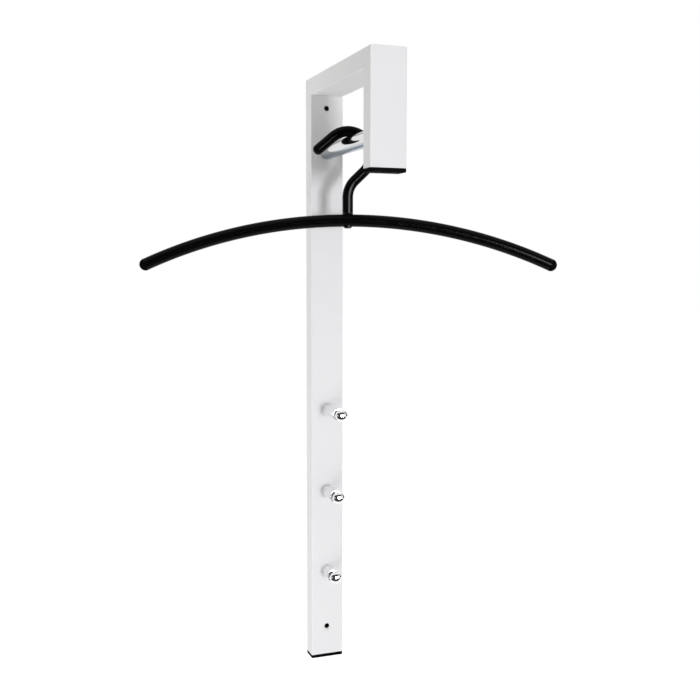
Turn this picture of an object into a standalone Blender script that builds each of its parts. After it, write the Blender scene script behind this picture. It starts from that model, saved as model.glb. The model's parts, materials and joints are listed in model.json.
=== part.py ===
"""Wall coat rack: a white tube frame with a chrome rail, three pegs and a swivelling hanger.

X runs along the wall, +Y goes into the wall and +Z is up. The origin lies on the wall face of the
post, halfway between its two screw holes. All sizes are in metres, and all angles in degrees.
"""

from math import asin, ceil, cos, degrees, pi, radians, sin

import bmesh
import bpy
from mathutils import Vector

# Frame of rectangular tube
TUBE_WIDTH = 0.040
TUBE_DEPTH = 0.020
TUBE_WALL = 0.002
TUBE_EDGE_RADIUS = 0.0012
POST_LENGTH = 0.700
FRAME_REACH = 0.210
DROP_LENGTH = 0.121
KEY_LEG = 0.045
KEY_LEAD_IN = 0.0012

# Screw holes in the post, at equal distances from its two ends
SCREW_HOLE_DIAMETER = 0.006
SCREW_SINK_DIAMETER = 0.0095
SCREW_HOLE_INSET = 0.0345

# Caps in the open tube ends
CAP_FLANGE = 0.004
CAP_EDGE_RADIUS = 0.0010
CAP_PLUG_LENGTH = 0.018
CAP_PLUG_WALL = 0.0018

# Threaded inserts set in the tube walls
INSERT_THREAD_DIAMETER = 0.006
INSERT_SLEEVE_WALL = 0.001
INSERT_FLANGE_LIP = 0.001
INSERT_FLANGE = 0.0008
INSERT_BULGE_LIP = 0.001
INSERT_BULGE = 0.002
INSERT_LENGTH = 0.011
STUD_LENGTH = 0.009

# Rail between the post and the drop, carried by a spigot at each end
ROD_DIAMETER = 0.018
ROD_WALL = 0.0015
ROD_ABOVE_DROP_END = 0.0355
SPIGOT_LENGTH = 0.015
SPIGOT_CHAMFER = 0.0010

# Pegs on the post, the lowest one first
PEG_LENGTHS = {"lower": 0.036, "middle": 0.046, "upper": 0.056}
PEG_DIAMETER = 0.014
PEG_LOWEST = 0.105
PEG_PITCH = 0.100
PEG_HEAD = 0.0075
PEG_GROOVE_WIDTH = 0.007
PEG_GROOVE_DEPTH = 0.002
PEG_DOME = 0.003
PEG_BASE_CHAMFER = 0.0005

# Hook of the hanger, bent from round bar
HOOK_BAR_DIAMETER = 0.012
HOOK_INNER_RADIUS = 0.020
HOOK_TIP_TURN = 40.0
HOOK_TIP_LENGTH = 0.0215
HOOK_NECK_TURN = 46.0
HOOK_NECK_RADIUS = 0.026
HOOK_STEM_LENGTH = 0.026
HOOK_FROM_WALL = 0.091
HANGER_YAW = 21.0

# Shoulder of the hanger, bent from round tube
SHOULDER_DIAMETER = 0.014
SHOULDER_WALL = 0.0015
SHOULDER_BEND_RADIUS = 0.556
SHOULDER_SPAN = 0.459
PLUG_DEPTH = 0.010
PLUG_CLEARANCE = 0.0006

# Swivel between the hook and the shoulder
PIN_DIAMETER = 0.006
BUSH_WALL = 0.0008
BUSH_COLLAR = 0.0008
WASHER_RIM = 0.0006
WASHER_THICKNESS = 0.0005
RIVET_LIP = 0.001
RIVET_HEAD = 0.0008

# Fits and mesh fineness
FIT_GAP = 0.0003
CUT_MARGIN = 0.001
MERGE_DISTANCE = 0.00001
ROUND_STEPS = 32
SMALL_ROUND_STEPS = 20
EDGE_STEPS = 2
FILLET_STEPS = 5
BAR_SIDES = 16
HOOK_BEND_STEP = 8.0
SHOULDER_BEND_STEP = 1.5
SHARP_ANGLE = 35.0

# Finishes: base colour, metallic and roughness
WHITE_COAT = ((0.84, 0.84, 0.85), 0.0, 0.38)
BLACK_COAT = ((0.012, 0.012, 0.013), 0.0, 0.35)
BLACK_PLASTIC = ((0.015, 0.015, 0.016), 0.0, 0.50)
CHROME = ((0.80, 0.81, 0.82), 1.0, 0.08)
ZINC_STEEL = ((0.58, 0.59, 0.60), 1.0, 0.35)
BLACK_NYLON = ((0.05, 0.05, 0.05), 0.0, 0.45)

# Places that follow from the sizes
FRAME_TOP = POST_LENGTH / 2
FRAME_BOTTOM = -POST_LENGTH / 2
POST_FRONT = -TUBE_DEPTH
DROP_BACK = TUBE_DEPTH - FRAME_REACH
DROP_BOTTOM = FRAME_TOP - DROP_LENGTH
ROD_HEIGHT = DROP_BOTTOM + ROD_ABOVE_DROP_END
TUBE_INSET = TUBE_WALL + FIT_GAP
INSERT_SLEEVE_RADIUS = INSERT_THREAD_DIAMETER / 2 + INSERT_SLEEVE_WALL
INSERT_HOLE_RADIUS = INSERT_SLEEVE_RADIUS + FIT_GAP
INSERT_FLANGE_RADIUS = INSERT_HOLE_RADIUS + INSERT_FLANGE_LIP
STUD_SEAT = INSERT_FLANGE + 2 * FIT_GAP
STUD_RADIUS = INSERT_THREAD_DIAMETER / 2 - FIT_GAP
FACING_FRONT = (pi / 2, 0.0, 0.0)
FACING_WALL = (-pi / 2, 0.0, 0.0)

# The hook's bends, seen from the front of the hanger with the rail's axis as origin
BAR_RADIUS = HOOK_BAR_DIAMETER / 2
LOOP_RADIUS = HOOK_INNER_RADIUS + BAR_RADIUS
LOOP_HEIGHT = ROD_DIAMETER / 2 + FIT_GAP - HOOK_INNER_RADIUS
NECK_COS = cos(radians(HOOK_NECK_TURN))
NECK_SIN = sin(radians(HOOK_NECK_TURN))
NECK_RUN = (LOOP_RADIUS * NECK_COS - HOOK_NECK_RADIUS * (1 - NECK_COS)) / NECK_SIN
NECK_BOTTOM = LOOP_HEIGHT - (LOOP_RADIUS + HOOK_NECK_RADIUS) * NECK_SIN - NECK_RUN * NECK_COS
SHOULDER_HEIGHT = NECK_BOTTOM - HOOK_STEM_LENGTH

# The swivel's levels, counted from the shoulder tube's centre line
SHOULDER_RADIUS = SHOULDER_DIAMETER / 2
SADDLE_RADIUS = SHOULDER_RADIUS + FIT_GAP
COLLAR_TOP = SADDLE_RADIUS + BUSH_COLLAR
STEM_END = COLLAR_TOP + FIT_GAP
WASHER_BOTTOM = -(SADDLE_RADIUS + WASHER_THICKNESS)
RIVET_TOP = WASHER_BOTTOM - FIT_GAP
PIN_RADIUS = PIN_DIAMETER / 2
BUSH_BORE_RADIUS = PIN_RADIUS + FIT_GAP
BUSH_SLEEVE_RADIUS = BUSH_BORE_RADIUS + BUSH_WALL
SLEEVE_ROOM_RADIUS = BUSH_SLEEVE_RADIUS + FIT_GAP
SHOULDER_HALF_ANGLE = degrees(asin(SHOULDER_SPAN / 2 / SHOULDER_BEND_RADIUS))


def clear_scene():
    for thing in list(bpy.data.objects):
        bpy.data.objects.remove(thing, do_unlink=True)


def new_collection(name):
    group = bpy.data.collections.new(name)
    bpy.context.scene.collection.children.link(group)
    return group


clear_scene()
PARTS = new_collection("wall_coat_rack")
CUTTERS = new_collection("wall_coat_rack_cutters")


def place(name, data, group, parent, location, rotation):
    thing = bpy.data.objects.new(name, data)
    group.objects.link(thing)
    thing.parent = parent
    thing.location = location
    thing.rotation_euler = rotation
    return thing


def pivot(name, parent=None, location=(0, 0, 0), rotation=(0, 0, 0)):
    """An empty that carries the pieces of one body, with its origin on that body's joint axis."""
    return place(name, None, PARTS, parent, location, rotation)


def part(name, mesh, parent, finish, location=(0, 0, 0), rotation=(0, 0, 0)):
    """One piece of the rack, with a material of its own."""
    colour, metallic, roughness = finish
    material = bpy.data.materials.new(name)
    material.use_nodes = True
    shader = material.node_tree.nodes["Principled BSDF"]
    shader.inputs["Base Color"].default_value = (*colour, 1.0)
    shader.inputs["Metallic"].default_value = metallic
    shader.inputs["Roughness"].default_value = roughness
    mesh.materials.append(material)
    return place(name, mesh, PARTS, parent, location, rotation)


def cutter(name, mesh, parent, location=(0, 0, 0), rotation=(0, 0, 0)):
    """A tool shape that is subtracted from a piece or joined to it."""
    tool = place(name, mesh, CUTTERS, parent, location, rotation)
    tool.hide_render = True
    tool.display_type = 'WIRE'
    return tool


def combine(thing, tool, operation):
    step = thing.modifiers.new(tool.name, 'BOOLEAN')
    step.operation = operation
    step.object = tool


def cut(thing, tool):
    combine(thing, tool, 'DIFFERENCE')


def join(thing, tool):
    combine(thing, tool, 'UNION')


def box_mesh(name, size, edge_radius=0.0, rounded_axis=None):
    """A box with rounded edges: all of them, or only those that run along one axis."""
    shape = bmesh.new()
    bmesh.ops.create_cube(shape, size=1.0)
    bmesh.ops.scale(shape, vec=size, verts=shape.verts)
    edges = list(shape.edges)
    if rounded_axis is not None:
        edges = [edge for edge in edges if runs_along(edge, rounded_axis)]
    if edge_radius > 0:
        bmesh.ops.bevel(shape, geom=edges, offset=edge_radius, offset_type='OFFSET',
                        segments=EDGE_STEPS, profile=0.5, affect='EDGES', material=-1)
    mesh = bpy.data.meshes.new(name)
    shape.to_mesh(mesh)
    shape.free()
    return mesh


def runs_along(edge, axis):
    direction = edge.verts[1].co - edge.verts[0].co
    return abs(direction[axis]) > 0.5 * direction.length


def profile_mesh(name, profile, ring=False):
    """The outline of a turned piece, run down its outer side from top to bottom."""
    points = [(radius, 0.0, height) for radius, height in profile]
    edges = [(index, index + 1) for index in range(len(points) - 1)]
    if ring:
        edges.append((len(points) - 1, 0))
    mesh = bpy.data.meshes.new(name)
    mesh.from_pydata(points, edges, [])
    return mesh


def turn(thing, steps=ROUND_STEPS):
    """Spin an outline about its own Z axis, the axis that a turned piece points along."""
    screw = thing.modifiers.new("turned", 'SCREW')
    screw.axis = 'Z'
    screw.steps = steps
    screw.render_steps = steps
    screw.use_merge_vertices = True
    screw.merge_threshold = MERGE_DISTANCE
    return thing


def half_facet(facing):
    """The same way, turned half a facet, so that no facet edge of a hole lies on a tube's centre line."""
    return (facing[0], pi / SMALL_ROUND_STEPS, 0.0)


def cylinder_profile(radius, top, bottom):
    return [(0.0, top), (radius, top), (radius, bottom), (0.0, bottom)]


def quarter_round(radius, fillet, top):
    """Points from a flat top, round its edge and down to the straight side."""
    angles = [pi / 2 * step / FILLET_STEPS for step in range(FILLET_STEPS + 1)]
    return [(radius - fillet + fillet * sin(a), top - fillet + fillet * cos(a)) for a in angles]


def dome(radius, height, top):
    """Points from the middle of a shallow dome out to its edge."""
    bend = (radius ** 2 + height ** 2) / (2 * height)
    reach = asin(min(1.0, radius / bend))
    angles = [reach * step / FILLET_STEPS for step in range(FILLET_STEPS + 1)]
    return [(bend * sin(a), top - bend * (1 - cos(a))) for a in angles]


def weld(mesh):
    shape = bmesh.new()
    shape.from_mesh(mesh)
    bmesh.ops.remove_doubles(shape, verts=shape.verts, dist=MERGE_DISTANCE)
    shape.to_mesh(mesh)
    shape.free()


def curve_mesh(name, curve, points, factors, cyclic):
    """Turn a curve through the given points into a closed mesh."""
    spline = curve.splines.new('POLY')
    spline.points.add(len(points) - 1)
    spline.use_cyclic_u = cyclic
    for knot, position, factor in zip(spline.points, points, factors):
        knot.co = (*position, 1.0)
        knot.radius = factor
    carrier = place(name, curve, CUTTERS, None, (0, 0, 0), (0, 0, 0))
    graph = bpy.context.evaluated_depsgraph_get()
    mesh = bpy.data.meshes.new_from_object(carrier.evaluated_get(graph))
    bpy.data.objects.remove(carrier)
    weld(mesh)
    return mesh


def bar_mesh(name, path, radius, factors=None):
    """A round bar along a path in the hanger's XZ plane; a factor below 1 narrows it there."""
    curve = bpy.data.curves.new(name, 'CURVE')
    curve.dimensions = '3D'
    curve.bevel_depth = radius
    curve.bevel_resolution = (BAR_SIDES - 4) // 2
    curve.use_fill_caps = True
    points = [(across, 0.0, up) for across, up in path]
    return curve_mesh(name, curve, points, factors or [1.0] * len(path), False)


def outline_mesh(name, outline, thickness):
    """A flat outline in the XY plane, thickened evenly to both sides."""
    curve = bpy.data.curves.new(name, 'CURVE')
    curve.dimensions = '2D'
    curve.fill_mode = 'BOTH'
    curve.extrude = thickness / 2
    points = [(across, up, 0.0) for across, up in outline]
    return curve_mesh(name, curve, points, [1.0] * len(outline), True)


def arc(centre, radius, start, end, largest_step):
    """Points on a circle from one angle to another, no further apart than the largest step."""
    count = max(2, ceil(abs(end - start) / largest_step))
    angles = [radians(start + (end - start) * step / count) for step in range(count + 1)]
    return [(centre[0] + radius * cos(a), centre[1] + radius * sin(a)) for a in angles]


def mitre_cutter(name, corner, tilt):
    """A block whose lower face lies on a 45 degree mitre plane through an outer corner."""
    size = 4 * max(TUBE_WIDTH, TUBE_DEPTH)
    normal = Vector((0.0, -sin(radians(tilt)), cos(radians(tilt))))
    centre = Vector(corner) + normal * (size - FIT_GAP) / 2
    return cutter(name, box_mesh(name, (size, size, size)), RACK, centre, (radians(tilt), 0, 0))


def square_tube(name, size, centre, axis):
    """A hollow rectangular tube, open at both ends, with its long edges rounded."""
    tube = part(name, box_mesh(name, size, TUBE_EDGE_RADIUS, axis), RACK, WHITE_COAT, centre)
    hollow = [length - 2 * TUBE_WALL for length in size]
    hollow[axis] = size[axis] + 2 * CUT_MARGIN
    cut(tube, cutter(f"{name}_hollow", box_mesh(f"{name}_hollow", hollow), RACK, centre))
    return tube


def screw_hole(tube, name, height):
    """A hole through both walls of the post, countersunk at the front."""
    hole = SCREW_HOLE_DIAMETER / 2
    sink = SCREW_SINK_DIAMETER / 2
    bottom = -(TUBE_DEPTH + CUT_MARGIN)
    profile = [(0.0, CUT_MARGIN), (sink + CUT_MARGIN, CUT_MARGIN), (hole, hole - sink),
               (hole, bottom), (0.0, bottom)]
    mesh = profile_mesh(name, profile)
    tool = cutter(name, mesh, RACK, (0, POST_FRONT, height), half_facet(FACING_FRONT))
    cut(tube, turn(tool, SMALL_ROUND_STEPS))


def corner_key(name, corner, forward):
    """A moulded L key inside a mitred corner; forward is the way its level leg points along Y."""
    inner = TUBE_DEPTH - TUBE_INSET
    lead = KEY_LEAD_IN
    legs = [(TUBE_INSET, TUBE_INSET), (KEY_LEG - lead, TUBE_INSET), (KEY_LEG, TUBE_INSET + lead),
            (KEY_LEG, inner - lead), (KEY_LEG - lead, inner), (inner, inner),
            (inner, KEY_LEG - lead), (inner - lead, KEY_LEG), (TUBE_INSET + lead, KEY_LEG),
            (TUBE_INSET, KEY_LEG - lead)]
    outline = [(forward * along, -down) for along, down in legs]
    mesh = outline_mesh(name, outline, TUBE_WIDTH - 2 * TUBE_INSET)
    return part(name, mesh, RACK, BLACK_NYLON, corner, (pi / 2, 0, pi / 2))


def end_cap(name, tube_end):
    """A cap with a flange under the tube's end and a hollow plug inside the tube."""
    flange = box_mesh(name, (TUBE_WIDTH, TUBE_DEPTH, CAP_FLANGE), CAP_EDGE_RADIUS)
    flange_centre = Vector(tube_end) - Vector((0, 0, FIT_GAP + CAP_FLANGE / 2))
    cap = part(name, flange, RACK, BLACK_PLASTIC, flange_centre)

    width = TUBE_WIDTH - 2 * TUBE_INSET
    depth = TUBE_DEPTH - 2 * TUBE_INSET
    length = CAP_PLUG_LENGTH + FIT_GAP + CAP_FLANGE / 2
    plug_centre = Vector(tube_end) + Vector((0, 0, CAP_PLUG_LENGTH - length / 2))
    plug = box_mesh(f"{name}_plug", (width, depth, length))
    join(cap, cutter(f"{name}_plug", plug, RACK, plug_centre))

    pocket_size = (width - 2 * CAP_PLUG_WALL, depth - 2 * CAP_PLUG_WALL, CAP_PLUG_LENGTH + CUT_MARGIN)
    pocket_centre = Vector(tube_end) + Vector((0, 0, pocket_size[2] / 2))
    pocket = box_mesh(f"{name}_pocket", pocket_size)
    cut(cap, cutter(f"{name}_pocket", pocket, RACK, pocket_centre))


def threaded_insert(name, tube, wall_point, facing):
    """An insert squeezed into a hole in a tube's wall, with its flange outside."""
    sleeve = INSERT_SLEEVE_RADIUS
    bulge = INSERT_HOLE_RADIUS + INSERT_BULGE_LIP
    flange = INSERT_FLANGE_RADIUS
    thread = INSERT_THREAD_DIAMETER / 2
    flange_top = FIT_GAP + INSERT_FLANGE
    bulge_top = -(TUBE_WALL + FIT_GAP)
    bulge_bottom = bulge_top - INSERT_BULGE
    profile = [(flange, flange_top), (flange, FIT_GAP), (sleeve, FIT_GAP), (sleeve, bulge_top),
               (bulge, bulge_top), (bulge, bulge_bottom), (sleeve, bulge_bottom),
               (sleeve, -INSERT_LENGTH), (thread, -INSERT_LENGTH), (thread, flange_top)]
    mesh = profile_mesh(name, profile, ring=True)
    turn(part(name, mesh, RACK, ZINC_STEEL, wall_point, facing), SMALL_ROUND_STEPS)

    hole = cylinder_profile(INSERT_HOLE_RADIUS, CUT_MARGIN, -(TUBE_WALL + CUT_MARGIN))
    mesh = profile_mesh(f"{name}_hole", hole)
    tool = cutter(f"{name}_hole", mesh, RACK, wall_point, half_facet(facing))
    cut(tube, turn(tool, SMALL_ROUND_STEPS))


def spigot(name, wall_point, facing):
    """A turned plug inside the rail's end, screwed into its insert by a stud."""
    radius = ROD_DIAMETER / 2 - ROD_WALL - FIT_GAP
    profile = [(0.0, SPIGOT_LENGTH), (radius - SPIGOT_CHAMFER, SPIGOT_LENGTH),
               (radius, SPIGOT_LENGTH - SPIGOT_CHAMFER), (radius, STUD_SEAT),
               (STUD_RADIUS, STUD_SEAT), (STUD_RADIUS, -STUD_LENGTH), (0.0, -STUD_LENGTH)]
    turn(part(name, profile_mesh(name, profile), RACK, ZINC_STEEL, wall_point, facing))


def peg(name, length, wall_point):
    """A turned peg with a groove behind its domed head and a recess over the insert's flange."""
    radius = PEG_DIAMETER / 2
    groove = radius - PEG_GROOVE_DEPTH
    groove_top = length - PEG_HEAD
    groove_bottom = groove_top - PEG_GROOVE_WIDTH
    recess = INSERT_FLANGE_RADIUS + FIT_GAP
    profile = dome(radius, PEG_DOME, length)
    profile += [(radius, groove_top), (groove, groove_top), (groove, groove_bottom),
                (radius, groove_bottom), (radius, FIT_GAP + PEG_BASE_CHAMFER),
                (radius - PEG_BASE_CHAMFER, FIT_GAP), (recess, FIT_GAP), (recess, STUD_SEAT),
                (STUD_RADIUS, STUD_SEAT), (STUD_RADIUS, -STUD_LENGTH), (0.0, -STUD_LENGTH)]
    turn(part(name, profile_mesh(name, profile), RACK, CHROME, wall_point, FACING_FRONT))


def rod():
    """The rail: a tube that turns on its two spigots."""
    outer = ROD_DIAMETER / 2
    inner = outer - ROD_WALL
    half = (FRAME_REACH - 2 * TUBE_DEPTH) / 2 - FIT_GAP
    profile = [(outer, half), (outer, -half), (inner, -half), (inner, half)]
    mesh = profile_mesh("rod_tube", profile, ring=True)
    turn(part("rod_tube", mesh, ROD_AXIS, CHROME, rotation=FACING_FRONT))


def hook():
    """The hook's bar, from its rounded tip over the rail to the stem, and the swivel pin below."""
    loop_centre = (0.0, LOOP_HEIGHT)
    loop_start = 90.0 + HOOK_TIP_TURN
    loop = arc(loop_centre, LOOP_RADIUS, loop_start, -HOOK_NECK_TURN, HOOK_BEND_STEP)
    outward = Vector((-sin(radians(loop_start)), cos(radians(loop_start))))
    tip = Vector(loop[0]) + outward * HOOK_TIP_LENGTH
    nose_angles = [radians(angle) for angle in (80, 60, 40, 20, 0)]
    nose = [tuple(tip + outward * BAR_RADIUS * sin(angle)) for angle in nose_angles]
    neck_centre = (HOOK_NECK_RADIUS, NECK_BOTTOM)
    neck = arc(neck_centre, HOOK_NECK_RADIUS, 180.0 - HOOK_NECK_TURN, 180.0, HOOK_BEND_STEP)
    path = nose + loop + neck + [(0.0, SHOULDER_HEIGHT + STEM_END)]
    factors = [cos(angle) for angle in nose_angles] + [1.0] * (len(path) - len(nose))
    bar = part("hanger_hook", bar_mesh("hanger_hook", path, BAR_RADIUS, factors), HOOK_SEAT, BLACK_COAT)

    rivet = PIN_RADIUS + RIVET_LIP
    inside_stem = STEM_END + BAR_RADIUS
    rivet_bottom = RIVET_TOP - RIVET_HEAD
    profile = [(0.0, inside_stem), (PIN_RADIUS, inside_stem), (PIN_RADIUS, RIVET_TOP),
               (rivet, RIVET_TOP), (rivet, RIVET_TOP - RIVET_HEAD / 2),
               (rivet - RIVET_HEAD / 2, rivet_bottom), (0.0, rivet_bottom)]
    pin = cutter("swivel_pin", profile_mesh("swivel_pin", profile), SWIVEL_AXIS)
    join(bar, turn(pin, SMALL_ROUND_STEPS))


def shoulder_bar(name, radius, extra_angle=0.0):
    """A bar along the shoulder's bend, which can run on past both ends."""
    half = SHOULDER_HALF_ANGLE + extra_angle
    path = arc((0.0, -SHOULDER_BEND_RADIUS), SHOULDER_BEND_RADIUS, 90 + half, 90 - half,
               SHOULDER_BEND_STEP)
    return bar_mesh(name, path, radius)


def shoulder():
    """The bent tube, bored through at its crown for the swivel's sleeve."""
    mesh = shoulder_bar("hanger_shoulder", SHOULDER_RADIUS)
    tube = part("hanger_shoulder", mesh, SWIVEL_AXIS, BLACK_COAT)
    past_end = 2 * SHOULDER_BEND_STEP
    bore = shoulder_bar("shoulder_bore", SHOULDER_RADIUS - SHOULDER_WALL, past_end)
    cut(tube, cutter("shoulder_bore", bore, SWIVEL_AXIS))
    past_wall = SHOULDER_RADIUS + CUT_MARGIN
    hole = cylinder_profile(SLEEVE_ROOM_RADIUS, past_wall, -past_wall)
    tool = cutter("shoulder_hole", profile_mesh("shoulder_hole", hole), SWIVEL_FACETS)
    cut(tube, turn(tool, SMALL_ROUND_STEPS))


def shoulder_plug(name, side):
    """A domed plug in one end of the shoulder tube; side is -1 at the left and 1 at the right."""
    half = radians(SHOULDER_HALF_ANGLE)
    end = (side * SHOULDER_SPAN / 2, 0.0, SHOULDER_BEND_RADIUS * (cos(half) - 1))
    stem = SHOULDER_RADIUS - SHOULDER_WALL - PLUG_CLEARANCE
    dome = quarter_round(SHOULDER_RADIUS, SHOULDER_RADIUS, SHOULDER_RADIUS + FIT_GAP)
    profile = dome + [(stem, FIT_GAP), (stem, -PLUG_DEPTH), (0.0, -PLUG_DEPTH)]
    tilt = (0.0, side * (pi / 2 + half), 0.0)
    turn(part(name, profile_mesh(name, profile), SWIVEL_AXIS, BLACK_PLASTIC, end, tilt), BAR_SIDES)


def swivel_bush():
    """A collar that saddles the shoulder tube, with a sleeve down through both walls."""
    name = "swivel_bush"
    collar = profile_mesh(name, cylinder_profile(BAR_RADIUS, COLLAR_TOP, 0.0))
    bush = turn(part(name, collar, SWIVEL_FACETS, BLACK_NYLON), SMALL_ROUND_STEPS)
    saddle = shoulder_bar("bush_saddle", SADDLE_RADIUS)
    cut(bush, cutter("bush_saddle", saddle, SWIVEL_AXIS))
    inside_collar = COLLAR_TOP - BUSH_COLLAR / 2
    sleeve = cylinder_profile(BUSH_SLEEVE_RADIUS, inside_collar, -SHOULDER_RADIUS)
    tool = cutter("bush_sleeve", profile_mesh("bush_sleeve", sleeve), SWIVEL_FACETS)
    join(bush, turn(tool, SMALL_ROUND_STEPS))
    bore = cylinder_profile(BUSH_BORE_RADIUS, COLLAR_TOP + CUT_MARGIN, -(SHOULDER_RADIUS + CUT_MARGIN))
    tool = cutter("bush_bore", profile_mesh("bush_bore", bore), SWIVEL_FACETS)
    cut(bush, turn(tool, SMALL_ROUND_STEPS))


def swivel_washer():
    """A washer that saddles the tube from below, round the sleeve's end and the pin."""
    name = "swivel_washer"
    radius = SLEEVE_ROOM_RADIUS + WASHER_RIM
    disc = profile_mesh(name, cylinder_profile(radius, 0.0, WASHER_BOTTOM))
    washer = turn(part(name, disc, SWIVEL_FACETS, ZINC_STEEL), SMALL_ROUND_STEPS)
    saddle = shoulder_bar("washer_saddle", SADDLE_RADIUS)
    cut(washer, cutter("washer_saddle", saddle, SWIVEL_AXIS))
    profile = [(0.0, CUT_MARGIN), (SLEEVE_ROOM_RADIUS, CUT_MARGIN), (SLEEVE_ROOM_RADIUS, -SADDLE_RADIUS),
               (BUSH_BORE_RADIUS, -SADDLE_RADIUS), (BUSH_BORE_RADIUS, WASHER_BOTTOM - CUT_MARGIN),
               (0.0, WASHER_BOTTOM - CUT_MARGIN)]
    tool = cutter("washer_bore", profile_mesh("washer_bore", profile), SWIVEL_FACETS)
    cut(washer, turn(tool, SMALL_ROUND_STEPS))


def apply_shapes():
    """Make each piece's mesh final, with its round faces shaded smooth."""
    bpy.context.view_layer.update()
    graph = bpy.context.evaluated_depsgraph_get()
    pieces = [thing for thing in PARTS.objects if thing.type == 'MESH']
    meshes = [bpy.data.meshes.new_from_object(piece.evaluated_get(graph)) for piece in pieces]
    for piece, mesh in zip(pieces, meshes):
        piece.modifiers.clear()
        piece.data = mesh
        mesh.shade_smooth()
        mesh.set_sharp_from_angle(angle=radians(SHARP_ANGLE))


# Bodies, each on its own joint axis
RACK = pivot("rack")
ROD_AXIS = pivot("rod_axis", RACK, (0, -FRAME_REACH / 2, ROD_HEIGHT))
HOOK_SEAT = pivot("hook_seat", ROD_AXIS, (0, FRAME_REACH / 2 - HOOK_FROM_WALL, 0),
                  (0, 0, -radians(HANGER_YAW)))
SWIVEL_AXIS = pivot("swivel_axis", HOOK_SEAT, (0, 0, SHOULDER_HEIGHT))
# Turned half a facet, so that no facet edge of the swivel falls on the crest of the shoulder tube
SWIVEL_FACETS = pivot("swivel_facets", SWIVEL_AXIS, rotation=(0, 0, pi / SMALL_ROUND_STEPS))

# Frame
REAR_CORNER = (0, 0, FRAME_TOP)
FRONT_CORNER = (0, -FRAME_REACH, FRAME_TOP)
post = square_tube("post_tube", (TUBE_WIDTH, TUBE_DEPTH, POST_LENGTH), (0, -TUBE_DEPTH / 2, 0), 2)
arm = square_tube("arm_tube", (TUBE_WIDTH, FRAME_REACH, TUBE_DEPTH),
                  (0, -FRAME_REACH / 2, FRAME_TOP - TUBE_DEPTH / 2), 1)
drop = square_tube("drop_tube", (TUBE_WIDTH, TUBE_DEPTH, DROP_LENGTH),
                   (0, TUBE_DEPTH / 2 - FRAME_REACH, FRAME_TOP - DROP_LENGTH / 2), 2)
cut(post, mitre_cutter("post_mitre", REAR_CORNER, 45))
cut(arm, mitre_cutter("arm_rear_mitre", REAR_CORNER, 225))
cut(arm, mitre_cutter("arm_front_mitre", FRONT_CORNER, 135))
cut(drop, mitre_cutter("drop_mitre", FRONT_CORNER, -45))
rear_key = corner_key("rear_corner_key", REAR_CORNER, -1)
corner_key("front_corner_key", FRONT_CORNER, 1)
end_cap("post_end_cap", (0, -TUBE_DEPTH / 2, FRAME_BOTTOM))
end_cap("drop_end_cap", (0, TUBE_DEPTH / 2 - FRAME_REACH, DROP_BOTTOM))

# Wall screw holes; the upper screw also passes through the rear key
upper_hole = FRAME_TOP - SCREW_HOLE_INSET
screw_hole(post, "upper_screw_hole", upper_hole)
screw_hole(post, "lower_screw_hole", FRAME_BOTTOM + SCREW_HOLE_INSET)
passage = cylinder_profile(SCREW_HOLE_DIAMETER / 2 + FIT_GAP, CUT_MARGIN, -(TUBE_DEPTH + CUT_MARGIN))
key_bore = cutter("key_bore", profile_mesh("key_bore", passage), RACK, (0, POST_FRONT, upper_hole),
                  half_facet(FACING_FRONT))
cut(rear_key, turn(key_bore, SMALL_ROUND_STEPS))

# Rail and what carries it
rod_rear = (0, POST_FRONT, ROD_HEIGHT)
rod_front = (0, DROP_BACK, ROD_HEIGHT)
threaded_insert("rod_rear_insert", post, rod_rear, FACING_FRONT)
threaded_insert("rod_front_insert", drop, rod_front, FACING_WALL)
spigot("rod_rear_spigot", rod_rear, FACING_FRONT)
spigot("rod_front_spigot", rod_front, FACING_WALL)
rod()

# Pegs
for index, (level, length) in enumerate(PEG_LENGTHS.items()):
    foot = (0, POST_FRONT, FRAME_BOTTOM + PEG_LOWEST + index * PEG_PITCH)
    threaded_insert(f"peg_{level}_insert", post, foot, FACING_FRONT)
    peg(f"peg_{level}", length, foot)

# Hanger
hook()
shoulder()
shoulder_plug("shoulder_plug_left", -1)
shoulder_plug("shoulder_plug_right", 1)
swivel_bush()
swivel_washer()

apply_shapes()
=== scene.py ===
# %% [markdown]
# # Dressing a wall coat rack in Blender
#
# The rack is a white tube frame that hangs on a wall. A chrome rail runs inside its bent-over top,
# a black hanger rides on that rail, and three chrome pegs stand on the post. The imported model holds
# every piece in its true place, in metres: +X runs along the wall, +Y goes into it, +Z points up.
# Its solids are faceted, so each piece that can be seen is modelled again here with round forms and
# fine edges, and every surface gets a finish. The fittings that hide inside the tubes keep their
# solids, which are good enough, and only get a finish.

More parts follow.
